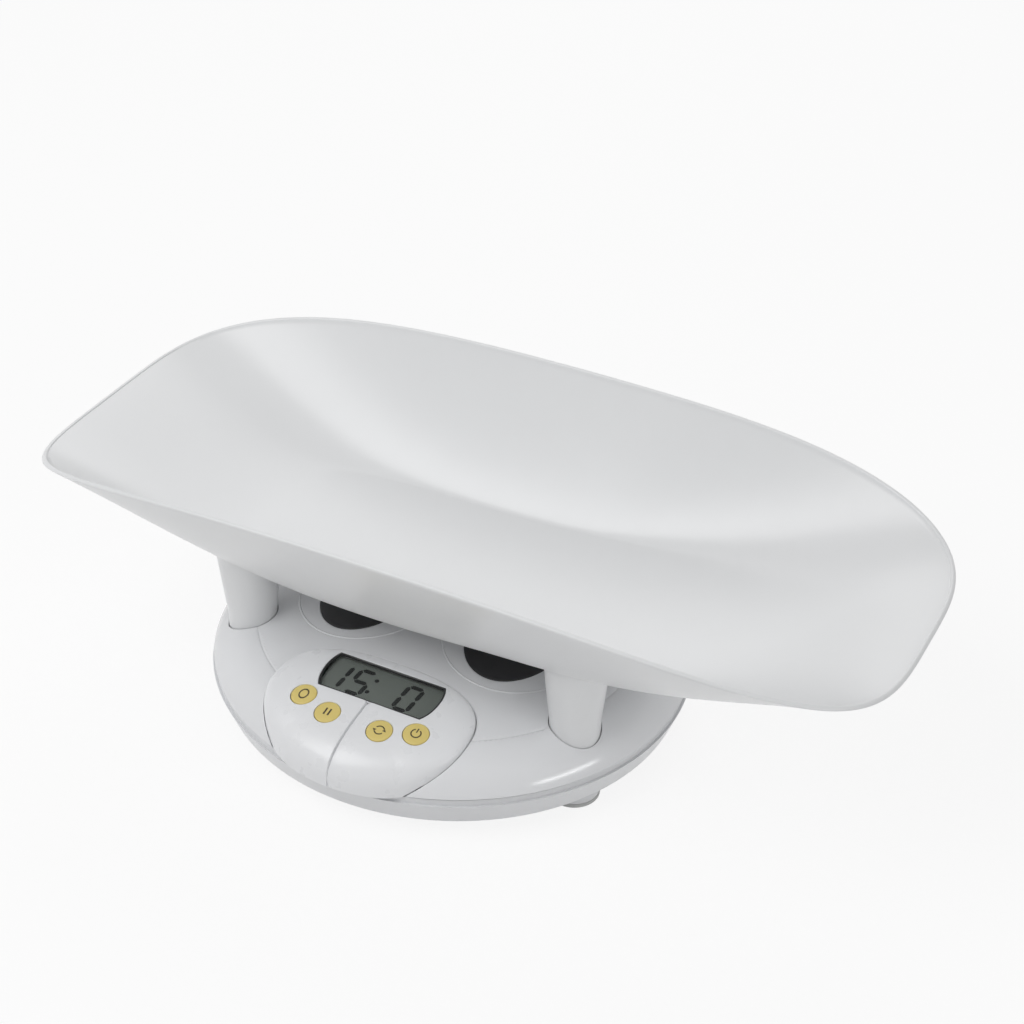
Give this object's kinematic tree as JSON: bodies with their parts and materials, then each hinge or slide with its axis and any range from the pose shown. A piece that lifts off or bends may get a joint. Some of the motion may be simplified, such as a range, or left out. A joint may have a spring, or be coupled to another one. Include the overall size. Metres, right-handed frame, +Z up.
{
  "type": "baby weighing scale",
  "caption": "Long curved open tray on legs over a domed oval weighing base with a raised front panel, display, press buttons, non-slip pads and feet.",
  "frame": {"origin": "on the table under the middle of the tray's length, on the tray's lengthwise middle line", "axes": "+X along the tray towards its foot end, +Y away from the control panel, +Z up"},
  "size_m": [0.5464, 0.2924, 0.1728],
  "materials": {
    "tray_plastic": "satin gloss, moulded",
    "white_plastic": "satin gloss, moulded",
    "panel_plastic": "gloss, moulded",
    "button_plastic": "satin gold tint",
    "pad_rubber": "matt",
    "foot_rubber": "matt, pale grey",
    "strip_rubber": "matt",
    "clear_window": "clear, polished",
    "display_glass": "grey-green, satin",
    "board_laminate": "solder mask",
    "switch_plastic": "moulded",
    "holder_plastic": "moulded",
    "screw_steel": "zinc plated",
    "contact_steel": "nickel plated",
    "cell_steel": "ground",
    "cell_jacket": "printed film",
    "lead_sleeve": "matt"
  },
  "bodies": {
    "base": {"top_cover": "white_plastic", "left_pad": "pad_rubber", "right_pad": "pad_rubber", "control_panel": "panel_plastic", "display_window": "clear_window", "lcd_glass": "display_glass", "contact_strips": "strip_rubber", "circuit_board": "board_laminate", "board_screws": "screw_steel", "key_switches": "switch_plastic", "panel_screws": "screw_steel", "lower_cover": "white_plastic", "case_screws": "screw_steel", "batteries": "cell_jacket", "battery_contacts": "contact_steel", "load_cells": "cell_steel", "cell_holders": "holder_plastic", "foot_cups": "holder_plastic", "foot_pads": "foot_rubber", "cell_leads": "lead_sleeve", "battery_leads": "lead_sleeve"},
    "tray": {"tray": "tray_plastic"},
    "zero_key": {"zero_button": "button_plastic", "zero_plunger": "switch_plastic"},
    "hold_key": {"hold_button": "button_plastic", "hold_plunger": "switch_plastic"},
    "unit_key": {"unit_button": "button_plastic", "unit_plunger": "switch_plastic"},
    "power_key": {"power_button": "button_plastic", "power_plunger": "switch_plastic"},
    "door": {"battery_door": "white_plastic"}
  },
  "joints": [
    {"name": "tray_lift", "type": "slide", "parent": "base", "child": "tray", "axis": [0, 0, 1], "range_m": [0, 0.06]},
    {"name": "zero_press", "type": "slide", "parent": "base", "child": "zero_key", "axis": [0, 0.1045, -0.9945], "range_m": [0, 0.0008], "stiffness_N_per_m": 1500, "springref_m": -0.0002},
    {"name": "hold_press", "type": "slide", "parent": "base", "child": "hold_key", "axis": [0, 0.1045, -0.9945], "range_m": [0, 0.0008], "stiffness_N_per_m": 1500, "springref_m": -0.0002},
    {"name": "unit_press", "type": "slide", "parent": "base", "child": "unit_key", "axis": [0, 0.1045, -0.9945], "range_m": [0, 0.0008], "stiffness_N_per_m": 1500, "springref_m": -0.0002},
    {"name": "power_press", "type": "slide", "parent": "base", "child": "power_key", "axis": [0, 0.1045, -0.9945], "range_m": [0, 0.0008], "stiffness_N_per_m": 1500, "springref_m": -0.0002},
    {"name": "battery_door_hinge", "type": "hinge", "parent": "base", "child": "door", "pos_m": [-0.0225, -0.0084, 0.0119], "axis": [-1, 0, 0], "range_deg": [0, 90]}
  ]
}
